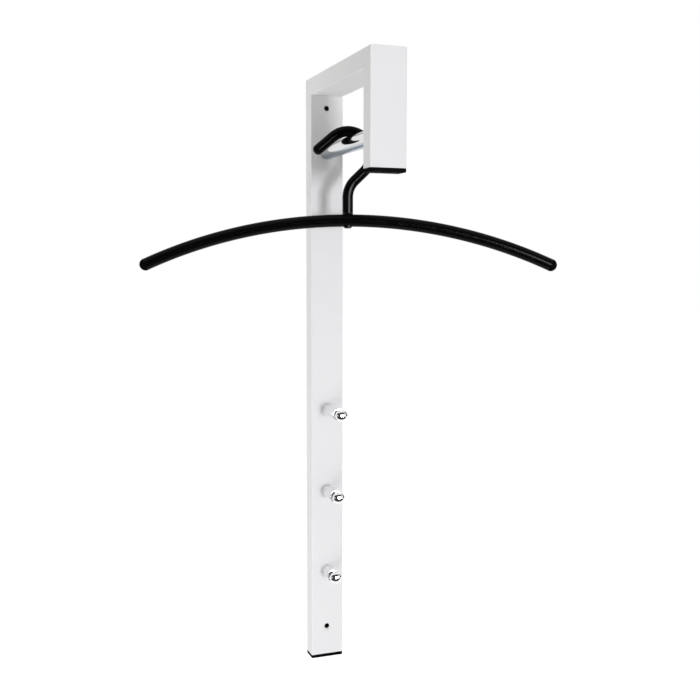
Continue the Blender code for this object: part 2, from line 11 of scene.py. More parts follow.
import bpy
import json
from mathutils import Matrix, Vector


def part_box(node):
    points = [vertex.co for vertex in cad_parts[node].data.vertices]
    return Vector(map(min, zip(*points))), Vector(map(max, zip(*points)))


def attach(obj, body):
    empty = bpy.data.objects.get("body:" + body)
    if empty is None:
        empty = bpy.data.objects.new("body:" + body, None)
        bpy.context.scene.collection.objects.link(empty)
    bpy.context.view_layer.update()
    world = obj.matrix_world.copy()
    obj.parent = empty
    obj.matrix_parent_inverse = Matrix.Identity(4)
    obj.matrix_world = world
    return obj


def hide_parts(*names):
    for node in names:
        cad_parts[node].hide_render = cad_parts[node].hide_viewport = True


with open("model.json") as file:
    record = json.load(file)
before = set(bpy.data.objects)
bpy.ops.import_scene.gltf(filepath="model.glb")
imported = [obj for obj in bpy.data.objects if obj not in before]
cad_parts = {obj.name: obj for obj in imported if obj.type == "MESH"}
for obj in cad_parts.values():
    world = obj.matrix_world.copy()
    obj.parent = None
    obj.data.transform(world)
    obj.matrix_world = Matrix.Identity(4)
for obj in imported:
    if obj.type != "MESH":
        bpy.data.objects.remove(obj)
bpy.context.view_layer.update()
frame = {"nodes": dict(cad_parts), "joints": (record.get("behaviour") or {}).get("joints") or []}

# %% [markdown]
# ## The camera
#
# A camera can be placed by eye, but a photograph with straight edges says exactly where its camera
# stood: a pinhole camera was fitted to the frame's edges, and these are its numbers. It stands a
# little left of the rack, looks slightly down, and has a lens of about 50 mm. Because it looks down,
# the upright edges come together a little towards the bottom, as they do in the photograph.

# %% Set up the camera
import json
from math import asin, cos, pi, radians, sin

import bmesh
import bpy
from mathutils import Matrix, Vector

scene = bpy.context.scene
scene.view_settings.view_transform = "Standard"

camera_data = bpy.data.cameras.new("portrait_camera")
camera_data.sensor_width = 36.0
camera_data.lens = 50.73
camera = bpy.data.objects.new("portrait_camera", camera_data)
camera.location = (-0.38926, -1.14373, 0.13140)
camera.rotation_euler = (radians(90 - 4.965), radians(-0.09), radians(-20.428))
scene.collection.objects.link(camera)
scene.camera = camera
print("camera stands", round(camera.location.length, 3), "m from the middle of the post")

# %% [markdown]
# ## The surround
#
# The rack hangs in an even white studio. White all round would light it flat, so the surround is
# split with the Light Path node: rays from the camera, and rays that chrome or gloss sends on, see
# plain white of strength 1, while the light that falls on the rack is a weaker, even sky. The sky is a
# touch warm, as the shaded sides in the photograph are.

# %% Make the white surround
WHITE = (1.0, 1.0, 1.0, 1.0)
SKY_COLOUR = (1.0, 0.990, 0.975, 1.0)
SKY_LEVEL = 0.445

world = bpy.data.worlds.new("studio_surround")
world.use_nodes = True
scene.world = world


def worked_out(tree, operation, *values):
    """The result of a Math node; each value is a socket to link or a plain number."""
    sum_node = tree.nodes.new("ShaderNodeMath")
    sum_node.operation = operation
    for socket, value in zip(sum_node.inputs, values):
        if isinstance(value, bpy.types.NodeSocket):
            tree.links.new(value, socket)
        else:
            socket.default_value = value
    return sum_node.outputs[0]


def seen_directly(tree):
    """A factor that is 1 where the camera, a mirror or a glass looks, and 0 for falling light."""
    rays = tree.nodes.new("ShaderNodeLightPath").outputs
    mirror = worked_out(tree, "MAXIMUM", rays["Is Camera Ray"], rays["Is Glossy Ray"])
    return worked_out(tree, "MAXIMUM", mirror, rays["Is Transmission Ray"])


sky = world.node_tree
sky.nodes.clear()
falling = sky.nodes.new("ShaderNodeBackground")
falling.inputs["Color"].default_value = SKY_COLOUR
falling.inputs["Strength"].default_value = SKY_LEVEL
shown = sky.nodes.new("ShaderNodeBackground")
shown.inputs["Color"].default_value = WHITE
shown.inputs["Strength"].default_value = 1.0
split = sky.nodes.new("ShaderNodeMixShader")
sky_out = sky.nodes.new("ShaderNodeOutputWorld")
sky.links.new(seen_directly(sky), split.inputs["Fac"])
sky.links.new(falling.outputs["Background"], split.inputs[1])
sky.links.new(shown.outputs["Background"], split.inputs[2])
sky.links.new(split.outputs["Shader"], sky_out.inputs["Surface"])
print("the sky lights the rack at", SKY_LEVEL, "and shows as white")

# %% [markdown]
# ## The floor
#
# A coat rack hangs at about head height, so the floor lies well below it and catches only a faint
# shadow. It is one large face. Its finish is pale paint that glows a little where it is looked at,
# so it runs into the white surround without a line, and a shadow on it still shows.

# %% Lay the floor
FLOOR_DROP = 1.35
FLOOR_REACH = 25.0
FLOOR_PAINT = (0.80, 0.80, 0.80, 1.0)
FLOOR_SHADE = (0.40, 0.40, 0.40, 1.0)
FLOOR_GLOW = 0.88

floor_shape = bmesh.new()
bmesh.ops.create_grid(floor_shape, x_segments=1, y_segments=1, size=FLOOR_REACH)
bmesh.ops.translate(floor_shape, vec=(0, 0, -FLOOR_DROP), verts=floor_shape.verts)
floor_mesh = bpy.data.meshes.new("studio_floor")
floor_shape.to_mesh(floor_mesh)
floor_shape.free()
floor = bpy.data.objects.new("studio_floor", floor_mesh)
scene.collection.objects.link(floor)

pale = bpy.data.materials.new("pale_floor_paint")
pale.use_nodes = True
tree = pale.node_tree
tree.nodes.clear()
bounce = tree.nodes.new("ShaderNodeBsdfDiffuse")
bounce.inputs["Color"].default_value = FLOOR_PAINT
shaded = tree.nodes.new("ShaderNodeBsdfDiffuse")
shaded.inputs["Color"].default_value = FLOOR_SHADE
glow = tree.nodes.new("ShaderNodeEmission")
glow.inputs["Strength"].default_value = FLOOR_GLOW
looked_at = tree.nodes.new("ShaderNodeAddShader")
floor_split = tree.nodes.new("ShaderNodeMixShader")
floor_out = tree.nodes.new("ShaderNodeOutputMaterial")
tree.links.new(shaded.outputs["BSDF"], looked_at.inputs[0])
tree.links.new(glow.outputs["Emission"], looked_at.inputs[1])
tree.links.new(seen_directly(tree), floor_split.inputs["Fac"])
tree.links.new(bounce.outputs["BSDF"], floor_split.inputs[1])
tree.links.new(looked_at.outputs["Shader"], floor_split.inputs[2])
tree.links.new(floor_split.outputs["Shader"], floor_out.inputs["Surface"])
floor_mesh.materials.append(pale)
print("floor", FLOOR_DROP, "m below the middle of the post")

# %% [markdown]
# ## The lamps
#
# The light in the photograph can be read from its shadows. The stem's shadow falls on the post a few
# millimetres left of the stem, and the shoulder's shadow hides behind the shoulder, so the main lamp
# stands far in front, a touch to the right and no higher than the rack. The undersides are bright,
# so a low lamp adds the light that a pale floor throws back. The side walls grow brighter towards the
# wall, so a faint lamp in the plane of the wall adds what a white wall throws back. A fourth lamp
# lights the back, for views from behind. The main lamp is a touch cool, which keeps the fronts neutral
# under the warm sky. All four are hidden from reflections: what chrome and gloss show is made below,
# with cards.

# %% Hang four soft lamps
AIM = Vector((0.0, -0.08, 0.15))
KEY_COLOUR = (0.955, 0.958, 1.0)


def soft_lamp(name, azimuth, elevation, distance, width, height, power):
    """A rectangular lamp turned to the rack; azimuth 0 is straight in front and grows to the right."""
    data = bpy.data.lights.new(name, "AREA")
    data.shape = "RECTANGLE"
    data.size = width
    data.size_y = height
    data.energy = power
    lamp = bpy.data.objects.new(name, data)
    turn = radians(azimuth)
    rise = radians(elevation)
    way = Vector((sin(turn) * cos(rise), -cos(turn) * cos(rise), sin(rise)))
    lamp.location = AIM + distance * way
    lamp.rotation_mode = "QUATERNION"
    lamp.rotation_quaternion = (-way).to_track_quat("-Z", "Y")
    lamp.visible_camera = False
    lamp.visible_glossy = False
    scene.collection.objects.link(lamp)
    return lamp


key_lamp = soft_lamp(
    "key_lamp", azimuth=3.2, elevation=-2.7, distance=8.0, width=1.10, height=1.10, power=270.0
)
key_lamp.data.color = KEY_COLOUR
low_lamp = soft_lamp(
    "low_lamp", azimuth=-64, elevation=-42, distance=1.7, width=1.20, height=1.20, power=9.2
)
wall_lamp = soft_lamp(
    "wall_lamp", azimuth=180, elevation=0, distance=0.079, width=0.70, height=1.20, power=1.25
)
back_lamp = soft_lamp(
    "back_lamp", azimuth=180, elevation=20, distance=4.0, width=1.00, height=1.00, power=50.0
)
print("lamps:", key_lamp.name, low_lamp.name, wall_lamp.name, back_lamp.name)

# %% [markdown]
# ## Cards for the reflections
#
# In a studio only the backdrop is white: the side where the camera stands is a dark room, and chrome
# and gloss show it. Without it the chrome would look like white plastic. One large card, folded to a
# dark floor, a dark wall and a dark ceiling, stands in for that room. A card is there for reflections
# only, and it glows evenly, so its grey is the grey that is seen. Light Path's Diffuse Depth keeps the
# chrome from throwing a card's glow back onto the white post.

# %% Fold the dark card
ROOM_LEFT = -10.0
ROOM_RIGHT = 4.4
ROOM_FRONT = -9.0
ROOM_FLOOR = -1.34
FLOOR_REAR = -0.95
ROOM_CEILING = 2.2
CEILING_REAR = -2.1
ROOM_GREY = 0.06


def seen_in_gloss_only(name, shape, glow_level):
    """A studio card that mirrors and gloss show, and that neither the camera nor falling light meets."""
    mesh = bpy.data.meshes.new(name)
    shape.to_mesh(mesh)
    shape.free()
    card = bpy.data.objects.new(name, mesh)
    scene.collection.objects.link(card)
    card.visible_camera = False
    card.visible_diffuse = False
    card.visible_transmission = False
    card.visible_shadow = False
    paint = bpy.data.materials.new(name + "_paint")
    paint.use_nodes = True
    paint_tree = paint.node_tree
    paint_tree.nodes.clear()
    rays = paint_tree.nodes.new("ShaderNodeLightPath").outputs
    unscattered = worked_out(paint_tree, "LESS_THAN", rays["Diffuse Depth"], 0.5)
    level = worked_out(paint_tree, "MULTIPLY", unscattered, glow_level)
    even_glow = paint_tree.nodes.new("ShaderNodeEmission")
    paint_tree.links.new(level, even_glow.inputs["Strength"])
    paint_out = paint_tree.nodes.new("ShaderNodeOutputMaterial")
    paint_tree.links.new(even_glow.outputs["Emission"], paint_out.inputs["Surface"])
    mesh.materials.append(paint)
    return card


room = bmesh.new()
fold = [
    (ROOM_LEFT, FLOOR_REAR, ROOM_FLOOR),
    (ROOM_LEFT, ROOM_FRONT, ROOM_FLOOR),
    (ROOM_LEFT, ROOM_FRONT, ROOM_CEILING),
    (ROOM_LEFT, CEILING_REAR, ROOM_CEILING),
]
fold_corners = [room.verts.new(place) for place in fold]
fold_edges = [room.edges.new(pair) for pair in zip(fold_corners, fold_corners[1:])]
grown = bmesh.ops.extrude_edge_only(room, edges=fold_edges)["geom"]
far_side = [item for item in grown if isinstance(item, bmesh.types.BMVert)]
bmesh.ops.translate(room, vec=(ROOM_RIGHT - ROOM_LEFT, 0, 0), verts=far_side)
dark_card = seen_in_gloss_only("dark_card", room, ROOM_GREY)
print("folded", dark_card.name, "with", len(dark_card.data.polygons), "faces")

# %% [markdown]
# A bright screen stands a little right of the camera: it makes the light spot on each peg's dome and
# the streaks on the hanger. A lamp could make them too, but it would also brighten the white post.
# Two dark cards far out at the sides finish the room. All three are flat grids that are scaled, then
# tipped up and moved into place.

# %% Stand the white screen and the side cards
SCREEN_HALF_SIZE = (0.880, 0.575, 1.0)
SCREEN_PLACE = (0.630, -2.6, 0.015)
SCREEN_GLOW = 30.0
SIDE_HALF_SIZE = (3.2, 2.2, 1.0)
SIDE_DISTANCE = 6.0
SIDE_HEIGHT = 1.9
SIDE_GREY = 0.12
TIP_UPRIGHT = Matrix.Rotation(pi / 2, 3, "X")
TIP_SIDEWAYS = Matrix.Rotation(pi / 2, 3, "Y")


def stand_panel(shape, half_size, tip, place):
    """Add one flat panel to a card: scaled, tipped up and moved into place."""
    panel = bmesh.ops.create_grid(shape, x_segments=1, y_segments=1, size=1.0)["verts"]
    bmesh.ops.scale(shape, vec=half_size, verts=panel)
    bmesh.ops.rotate(shape, cent=(0, 0, 0), matrix=tip, verts=panel)
    bmesh.ops.translate(shape, vec=place, verts=panel)


screen = bmesh.new()
stand_panel(screen, SCREEN_HALF_SIZE, TIP_UPRIGHT, SCREEN_PLACE)
white_screen = seen_in_gloss_only("white_screen", screen, SCREEN_GLOW)
sides = bmesh.new()
for side in (-1, 1):
    stand_panel(sides, SIDE_HALF_SIZE, TIP_SIDEWAYS, (SIDE_DISTANCE * side, 0, SIDE_HEIGHT))
side_cards = seen_in_gloss_only("side_cards", sides, SIDE_GREY)
print("stood", white_screen.name, "and", side_cards.name)

# %% [markdown]
# ## Tools for finishes
#
# Every finish here is made of nodes on Object coordinates, which are metres in the rack's own frame,
# so a scale of 700 means 700 grains to the metre. A few small helpers keep each finish readable:
# one adds a noise, one turns noise into a range of numbers, one into a range of shades, and one
# turns it into relief.

# %% Helpers for finishes
NOISE_LOW = 0.3
NOISE_HIGH = 0.7


def new_finish(name):
    """A new material, its node tree and its main shader."""
    material = bpy.data.materials.new(name)
    material.use_nodes = True
    return material, material.node_tree, material.node_tree.nodes["Principled BSDF"]


def grain(tree, scale, detail=2.0, stretch=(1.0, 1.0, 1.0)):
    """Noise with so many grains to the metre; stretch multiplies the count along each axis."""
    place = tree.nodes.new("ShaderNodeTexCoord")
    squeeze = tree.nodes.new("ShaderNodeMapping")
    squeeze.inputs["Scale"].default_value = stretch
    noise = tree.nodes.new("ShaderNodeTexNoise")
    noise.inputs["Scale"].default_value = scale
    noise.inputs["Detail"].default_value = detail
    tree.links.new(place.outputs["Object"], squeeze.inputs["Vector"])
    tree.links.new(squeeze.outputs["Vector"], noise.inputs["Vector"])
    return noise.outputs["Fac"]


def spread(tree, value, low, high):
    """Noise gathers round its middle, so only that part is stretched over low to high."""
    span = tree.nodes.new("ShaderNodeMapRange")
    span.inputs["From Min"].default_value = NOISE_LOW
    span.inputs["From Max"].default_value = NOISE_HIGH
    span.inputs["To Min"].default_value = low
    span.inputs["To Max"].default_value = high
    tree.links.new(value, span.inputs["Value"])
    return span.outputs["Result"]


def shades(tree, value, dark, light):
    """Shades between two colours, following a noise."""
    ramp = tree.nodes.new("ShaderNodeValToRGB")
    ramp.color_ramp.elements[0].position = NOISE_LOW
    ramp.color_ramp.elements[0].color = (*dark, 1.0)
    ramp.color_ramp.elements[1].position = NOISE_HIGH
    ramp.color_ramp.elements[1].color = (*light, 1.0)
    tree.links.new(value, ramp.inputs["Fac"])
    return ramp.outputs["Color"]


def relief(tree, shader, heights):
    """Bumps on the surface: each height is a noise and its depth in metres."""
    below = None
    for value, depth in heights:
        bump = tree.nodes.new("ShaderNodeBump")
        bump.inputs["Strength"].default_value = 1.0
        bump.inputs["Distance"].default_value = depth
        tree.links.new(value, bump.inputs["Height"])
        if below:
            tree.links.new(below, bump.inputs["Normal"])
        below = bump.outputs["Normal"]
    tree.links.new(below, shader.inputs["Normal"])


# %% [markdown]
# ## White powder coat
#
# The frame is sprayed with dry powder and baked, which leaves a hard, nearly matt skin with a fine
# orange peel of about a millimetre and a half. The peel is relief only a hundredth of a millimetre
# deep. The photograph shows hardly any gloss on it, so the coat is rough and throws little back. The
# white is neutral and varies a little along the tubes where the coat is thicker.

# %% White powder coat
white_coat, tree, shader = new_finish("white_powder_coat")
tree.links.new(
    shades(tree, grain(tree, 7.0, 3.0), (0.815, 0.815, 0.818), (0.842, 0.842, 0.844)),
    shader.inputs["Base Color"],
)
tree.links.new(spread(tree, grain(tree, 90.0, 3.0), 0.62, 0.74), shader.inputs["Roughness"])
relief(tree, shader, [(grain(tree, 650.0, 1.5), 0.000012), (grain(tree, 2400.0, 1.0), 0.000002)])
shader.inputs["Specular IOR Level"].default_value = 0.02
print("made", white_coat.name)

# %% [markdown]
# ## Bare steel inside the tubes, painted dark
#
# Powder hardly reaches inside a tube, so the inner walls are bare steel. Their near-black colour is
# partly that bare steel and partly painted shade for the dark hollow; it is why the holes look black.

# %% Bare tube inside
# Near-black colour: bare steel darkened with painted shade for the inside of the tubes.
bare_inside_painted_dark, tree, shader = new_finish("bare_tube_inside_painted_dark")
tree.links.new(
    shades(tree, grain(tree, 160.0, 4.0), (0.030, 0.027, 0.025), (0.060, 0.055, 0.050)),
    shader.inputs["Base Color"],
)
tree.links.new(spread(tree, grain(tree, 500.0, 3.0), 0.55, 0.75), shader.inputs["Roughness"])
relief(tree, shader, [(grain(tree, 1200.0, 3.0), 0.00002)])
shader.inputs["Metallic"].default_value = 0.6
print("made", bare_inside_painted_dark.name)

# %% [markdown]
# ## Black coats and black plastic
#
# The hanger's bar and tube carry a semi-gloss black coat with a finer peel. It is hardly lighter than
# black, so what shows is its gloss: roughness does the work. Inside the hook the rail has rubbed the
# coat smoother, a patch round the point where the bar rests. The caps, the end plugs, the collar and
# the corner keys are moulded plastic with a leathery spark-eroded grain, so they are duller.

# %% Black coat, rubbed coat and plastic
RAIL_ROUND = 0.009
WORN_WITHIN = 0.004
UNWORN_BEYOND = 0.013
WORN_SHARE = 0.55

joints = {joint["name"]: joint for joint in frame["joints"]}
swivel_place = Vector(joints["hanger_swivel"]["pos_m"])
rail_place = Vector(joints["hanger_swing"]["pos_m"])
rest_point = Vector((swivel_place.x, swivel_place.y, rail_place.z + RAIL_ROUND))


def black_sprayed(name, rubbed_at=None):
    """Semi-gloss black coat; near a point where something rubs it is smoother."""
    material, tree, shader = new_finish(name)
    colour = shades(tree, grain(tree, 30.0, 3.0), (0.0010, 0.0010, 0.0011), (0.0020, 0.0020, 0.0022))
    gloss = spread(tree, grain(tree, 120.0, 3.0), 0.16, 0.24)
    if rubbed_at:
        place = tree.nodes.new("ShaderNodeTexCoord")
        reach = tree.nodes.new("ShaderNodeVectorMath")
        reach.operation = "DISTANCE"
        reach.inputs[1].default_value = rubbed_at
        tree.links.new(place.outputs["Object"], reach.inputs[0])
        wear = tree.nodes.new("ShaderNodeMapRange")
        wear.interpolation_type = "SMOOTHSTEP"
        wear.inputs["From Min"].default_value = WORN_WITHIN
        wear.inputs["From Max"].default_value = UNWORN_BEYOND
        wear.inputs["To Min"].default_value = WORN_SHARE
        wear.inputs["To Max"].default_value = 1.0
        tree.links.new(reach.outputs["Value"], wear.inputs["Value"])
        gloss = worked_out(tree, "MULTIPLY", gloss, wear.outputs["Result"])
    tree.links.new(colour, shader.inputs["Base Color"])
    tree.links.new(gloss, shader.inputs["Roughness"])
    relief(tree, shader, [(grain(tree, 900.0, 1.5), 0.0000035)])
    shader.inputs["Specular IOR Level"].default_value = 0.062
    return material


black_coat = black_sprayed("sprayed_black")
hook_coat = black_sprayed("sprayed_black_rubbed", rest_point)

black_plastic, tree, shader = new_finish("grained_black_plastic")
tree.links.new(
    shades(tree, grain(tree, 60.0, 3.0), (0.0014, 0.0014, 0.0015), (0.0030, 0.0030, 0.0032)),
    shader.inputs["Base Color"],
)
tree.links.new(spread(tree, grain(tree, 300.0, 2.0), 0.46, 0.60), shader.inputs["Roughness"])
relief(tree, shader, [(grain(tree, 1700.0, 2.0), 0.000015)])
shader.inputs["Specular IOR Level"].default_value = 0.004
print("made", black_coat.name, hook_coat.name, black_plastic.name)

# %% [markdown]
# ## Chrome
#
# The rail is polished along its length and the pegs are polished while they spin, so the finest
# marks run along the rail and round the pegs. Both are a stretched noise: many grains to the metre
# across the marks, few along them. The marks are so fine that they only soften a reflection. The
# rail's underside is painted darker and bluer: a painted dark reflection, not a real change of plate.

# %% Chrome, drawn and turned
POLISH_ALONG = (1.0, 0.02, 1.0)
POLISH_ROUND = (0.02, 1.0, 0.02)
# Depths below the rail's axis where the painted dark reflection on its underside fades in.
PAINTED_REFLECTION_STARTS = 0.0028
PAINTED_REFLECTION_FULL = 0.0076


def polished_chrome(name, marks, dark, light, underside=None):
    """Bright plate with polishing marks that run one way; an underside colour paints a dark reflection
    below.
    """
    material, tree, shader = new_finish(name)
    tone = shades(tree, grain(tree, 45.0, 3.0), dark, light)
    # Painted reflection: the lower side fades to the given darker, bluer colour.
    if underside:
        place = tree.nodes.new("ShaderNodeTexCoord")
        axes = tree.nodes.new("ShaderNodeSeparateXYZ")
        tree.links.new(place.outputs["Object"], axes.inputs["Vector"])
        fade = tree.nodes.new("ShaderNodeMapRange")
        fade.interpolation_type = "SMOOTHSTEP"
        fade.inputs["From Min"].default_value = rail_place.z - PAINTED_REFLECTION_STARTS
        fade.inputs["From Max"].default_value = rail_place.z - PAINTED_REFLECTION_FULL
        tree.links.new(axes.outputs["Z"], fade.inputs["Value"])
        blend = tree.nodes.new("ShaderNodeMix")
        blend.data_type = "RGBA"
        blend.inputs["B"].default_value = (*underside, 1.0)
        tree.links.new(fade.outputs["Result"], blend.inputs["Factor"])
        tree.links.new(tone, blend.inputs["A"])
        tone = blend.outputs["Result"]
    tree.links.new(tone, shader.inputs["Base Color"])
    tree.links.new(spread(tree, grain(tree, 1500.0, 2.0, marks), 0.05, 0.11), shader.inputs["Roughness"])
    relief(tree, shader, [(grain(tree, 2600.0, 1.0, marks), 0.0000006)])
    shader.inputs["Metallic"].default_value = 1.0
    return material


# The rail's underside colour is a painted dark reflection.
rail_chrome = polished_chrome(
    "chrome_drawn", POLISH_ALONG, (0.68, 0.68, 0.68), (0.72, 0.72, 0.72), underside=(0.28, 0.34, 0.40)
)
peg_chrome = polished_chrome("chrome_turned", POLISH_ROUND, (0.84, 0.85, 0.86), (0.89, 0.90, 0.91))
print("made", rail_chrome.name, peg_chrome.name)

# %% [markdown]
# ## Zinc plate
#
# The inserts and spigots inside the tubes are turned steel with a bright zinc plate, which is mottled
# in warm and cool greys. The turning tool leaves fine rings round them.

# %% Zinc plate
zinc_plate, tree, shader = new_finish("zinc_plate")
tree.links.new(
    shades(tree, grain(tree, 220.0, 4.0), (0.50, 0.52, 0.55), (0.64, 0.63, 0.59)),
    shader.inputs["Base Color"],
)
tree.links.new(spread(tree, grain(tree, 800.0, 3.0), 0.26, 0.42), shader.inputs["Roughness"])
relief(tree, shader, [(grain(tree, 2500.0, 1.0, POLISH_ROUND), 0.000004)])
shader.inputs["Metallic"].default_value = 1.0
print("made", zinc_plate.name)

# %% [markdown]
# ## Turning a shape into a piece
#
# Each piece is modelled as a bmesh in the rack's own frame. One helper then merges its doubles, points
# its faces outwards, gives it its finish, hangs it on the body that carries it and hides the solids
# it stands for. Edges sharper than 38 degrees stay sharp, and a Weighted Normal keeps the flat walls
# flat beside their small rounded edges.

# %% Helper that finishes a piece
MERGE_WITHIN = 0.000001
SHARP_ANGLE = radians(38)


def make_piece(shape, name, body, slot, finish, *nodes):
    """Close a bmesh as a named piece that rides on a body and stands for the given solids."""
    bmesh.ops.remove_doubles(shape, verts=shape.verts, dist=MERGE_WITHIN)
    bmesh.ops.recalc_face_normals(shape, faces=shape.faces)
    loose = [edge for edge in shape.edges if not edge.is_manifold]
    mesh = bpy.data.meshes.new(name)
    shape.to_mesh(mesh)
    shape.free()
    mesh.shade_smooth()
    mesh.set_sharp_from_angle(angle=SHARP_ANGLE)
    mesh.materials.append(finish)
    piece = bpy.data.objects.new(name, mesh)
    scene.collection.objects.link(piece)
    even = piece.modifiers.new("even_shading", "WEIGHTED_NORMAL")
    even.keep_sharp = True
    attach(piece, body)
    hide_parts(*nodes)
    print(name, "has", len(mesh.polygons), "faces and", len(loose), "open edges")
    return piece


# %% [markdown]
# ## The tubes: two skins
#
# Post, arm and drop are 40 x 20 mm rectangular tube with 2 mm walls and small rounded edges. A
# Solidify modifier could thicken one skin, but the mitred ends and the holes want clean walls, so
# each tube starts as two open boxes, one for the outside and one for the inside. The long edges are
# bevelled, and a plane saws the mitre through both skins at once. The saw leaves a hair's breadth of
# air in the corner, which is all that shows of the joint.

# %% Saw the three tubes
TUBE_WALL = 0.002
OUTER_ROUND = 0.0012
INNER_ROUND = 0.0005
EDGE_STEPS = 5
HALF_SAW_CUT = 0.00005
CUT_TOLERANCE = 0.0000001
ALONG_Y = 1
ALONG_Z = 2

post_low, post_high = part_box("post_tube")
arm_low, arm_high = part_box("arm_tube")
drop_low, drop_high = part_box("drop_tube")
frame_top = arm_high.z
frame_front = drop_low.y
wall_plane = post_high.y


def round_edges(shape, edges, offset, steps):
    """Bevel edges to a quarter round."""
    bmesh.ops.bevel(
        shape, geom=edges, offset=offset, segments=steps, profile=0.5, affect="EDGES", material=-1
    )


def open_box(low, high, along, rounding):
    """The four walls of a box that is open along one axis, with rounded long edges."""
    skin = bmesh.new()
    bmesh.ops.create_cube(skin, size=1.0)
    bmesh.ops.scale(skin, vec=high - low, verts=skin.verts)
    bmesh.ops.translate(skin, vec=(low + high) / 2, verts=skin.verts)
    skin.normal_update()
    ends = [face for face in skin.faces if abs(face.normal[along]) > 0.5]
    bmesh.ops.delete(skin, geom=ends, context="FACES_ONLY")
    corners = [edge for edge in skin.edges if len(edge.link_faces) == 2]
    round_edges(skin, corners, rounding, EDGE_STEPS)
    return skin


def tube_skins(low, high, along):
    """Outside and inside of a tube that runs along an axis from low to high."""
    inset = Vector((TUBE_WALL, TUBE_WALL, TUBE_WALL))
    inset[along] = 0.0
    outside = open_box(low, high, along, OUTER_ROUND)
    inside = open_box(low + inset, high - inset, along, INNER_ROUND)
    return outside, inside


def cut_on_plane(skin, place, away, clear_far=False):
    """Cut a skin on a plane; the far side can be cleared away."""
    geometry = skin.verts[:] + skin.edges[:] + skin.faces[:]
    bmesh.ops.bisect_plane(
        skin, geom=geometry, dist=CUT_TOLERANCE, plane_co=place, plane_no=away, clear_outer=clear_far
    )


def saw(skins, corner, away):
    """Saw both skins off at a corner, half a saw cut short of it."""
    for skin in skins:
        cut_on_plane(skin, corner - HALF_SAW_CUT * away.normalized(), away, clear_far=True)


rear_corner = Vector((0.0, wall_plane, frame_top))
front_corner = Vector((0.0, frame_front, frame_top))
rear_away = Vector((0.0, -1.0, 1.0))
front_away = Vector((0.0, 1.0, 1.0))

post_skins = tube_skins(post_low, Vector((post_high.x, wall_plane, frame_top)), ALONG_Z)
saw(post_skins, rear_corner, rear_away)
drop_skins = tube_skins(drop_low, Vector((drop_high.x, drop_high.y, frame_top)), ALONG_Z)
saw(drop_skins, front_corner, front_away)
arm_start = Vector((arm_low.x, frame_front, arm_low.z))
arm_end = Vector((arm_high.x, wall_plane, frame_top))
arm_skins = tube_skins(arm_start, arm_end, ALONG_Y)
saw(arm_skins, rear_corner, -rear_away)
saw(arm_skins, front_corner, -front_away)
for label, skins in (("post", post_skins), ("arm", arm_skins), ("drop", drop_skins)):
    print("sawn:", label, "with", len(skins[0].faces), "faces outside")

# %% [markdown]
# ## Holes in the tubes
#
# The post has two countersunk holes for wall screws, and holes for the threaded inserts behind the
# rail and the pegs. A Boolean would cut them, but it leaves long thin faces. Here four planes cut a
# square round each hole, points are added to the square's sides, an inset makes an inner ring, and
# the ring is pulled into a circle. A second inset with depth sinks the cone for a screw head.

# %% Cut the holes
PATCH = 0.0085
SCREW_HEIGHTS = (0.3155, -0.3155)
SCREW_ROUND = 0.003
SCREW_SINK = 0.00175
INSERT_ROUND = 0.0043
CUTS_PER_SIDE = 9
RING_INSET = 0.001


def box_middle(node):
    """The middle of a solid's box."""
    low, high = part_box(node)
    return (low + high) / 2


def round_hole(skin, centre, radius, sink=0.0):
    """Open a round hole at a point of a wall that faces the front or the back."""
    for axis in (Vector((1.0, 0.0, 0.0)), Vector((0.0, 0.0, 1.0))):
        for side in (-PATCH, PATCH):
            cut_on_plane(skin, centre + side * axis, axis)
    patch = min(skin.faces, key=lambda face: (face.calc_center_median() - centre).length)
    bmesh.ops.bisect_edges(skin, edges=patch.edges[:], cuts=CUTS_PER_SIDE)
    bmesh.ops.inset_individual(skin, faces=[patch], thickness=RING_INSET, use_even_offset=True)
    for corner in patch.verts:
        corner.co = centre + radius * (corner.co - centre).normalized()
    if sink:
        bmesh.ops.inset_individual(skin, faces=[patch], thickness=sink, depth=-sink, use_even_offset=True)
    bmesh.ops.delete(skin, geom=[patch], context="FACES_ONLY")


def wall_hole(skins, face, inwards, height, radius, sink=0.0):
    """Open a hole through both skins of a wall and return its middle on the outside."""
    middle = Vector((0.0, face, height))
    round_hole(skins[0], middle, radius + sink, sink)
    round_hole(skins[1], Vector((0.0, face + inwards, height)), radius)
    return middle


peg_names = ("peg_lower", "peg_middle", "peg_upper")
peg_heights = [box_middle(name).z for name in peg_names]
post_front = post_low.y

post_holes = []
for height in SCREW_HEIGHTS:
    post_holes.append(wall_hole(post_skins, post_front, TUBE_WALL, height, SCREW_ROUND, SCREW_SINK))
    post_holes.append(wall_hole(post_skins, wall_plane, -TUBE_WALL, height, SCREW_ROUND))
for height in (*peg_heights, rail_place.z):
    post_holes.append(wall_hole(post_skins, post_front, TUBE_WALL, height, INSERT_ROUND))
drop_hole = wall_hole(drop_skins, drop_high.y, -TUBE_WALL, rail_place.z, INSERT_ROUND)
print("cut", len(post_holes), "holes in the post and one in the drop")

# %% [markdown]
# ## Joining the skins
#
# The inside skin is copied into the outside one, and Bridge Loops joins each pair of open rings: first
# round the holes, then at the two ends. At the ends it pairs the rings' points crosswise, a fault that
# was found late: the faces there cross the hollow, out of sight behind the caps and in the mitres, and
# not every face of a tube can point outwards. Pairing each outer point with the nearest inner one would
# mend it. The edges of the holes get a small bevel, because a coat never lies sharp on an edge.

# %% Join the skins and finish the tubes
HOLE_EDGE = 0.00018
HOLE_EDGE_STEPS = 2
RIM_REACH = 0.0075
LIP_REACH = 0.0055
LIP_ANGLE = radians(25)
SAME_PLACE = 0.00001


